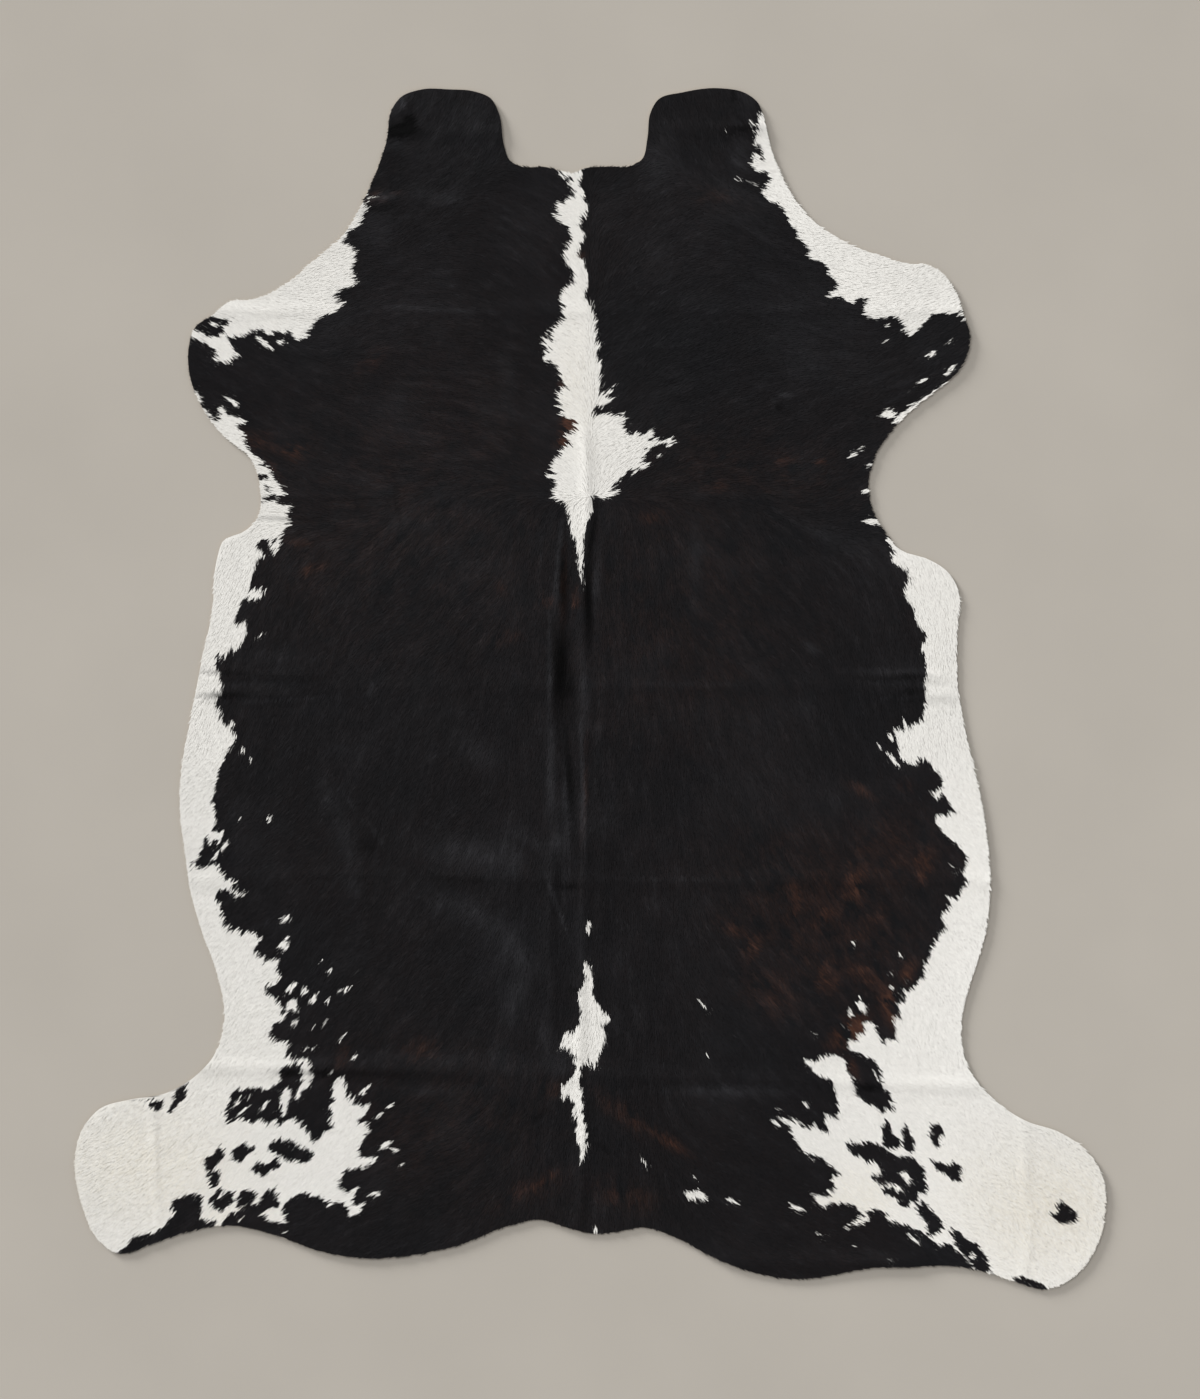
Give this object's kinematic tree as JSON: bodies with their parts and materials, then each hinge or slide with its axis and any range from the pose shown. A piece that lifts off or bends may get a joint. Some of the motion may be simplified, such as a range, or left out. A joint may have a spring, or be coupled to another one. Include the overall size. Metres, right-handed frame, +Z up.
{
  "type": "cowhide rug",
  "caption": "Whole hair-on cowhide lying flat as a floor rug, cut to the natural outline of the skin with neck, leg and tail ends, black with white flanks and back.",
  "frame": {"origin": "middle of the rug's box, on the floor under it", "axes": "+Z up off the floor, hair side up; +Y along the spine towards the neck; +X to the right as seen from above"},
  "size_m": [1.8258, 2.128, 0.0104],
  "materials": {
    "coat": "short glossy hair, brown-black with white markings; suede flesh side"
  },
  "bodies": {
    "root": {"hide": "coat"}
  },
  "joints": []
}
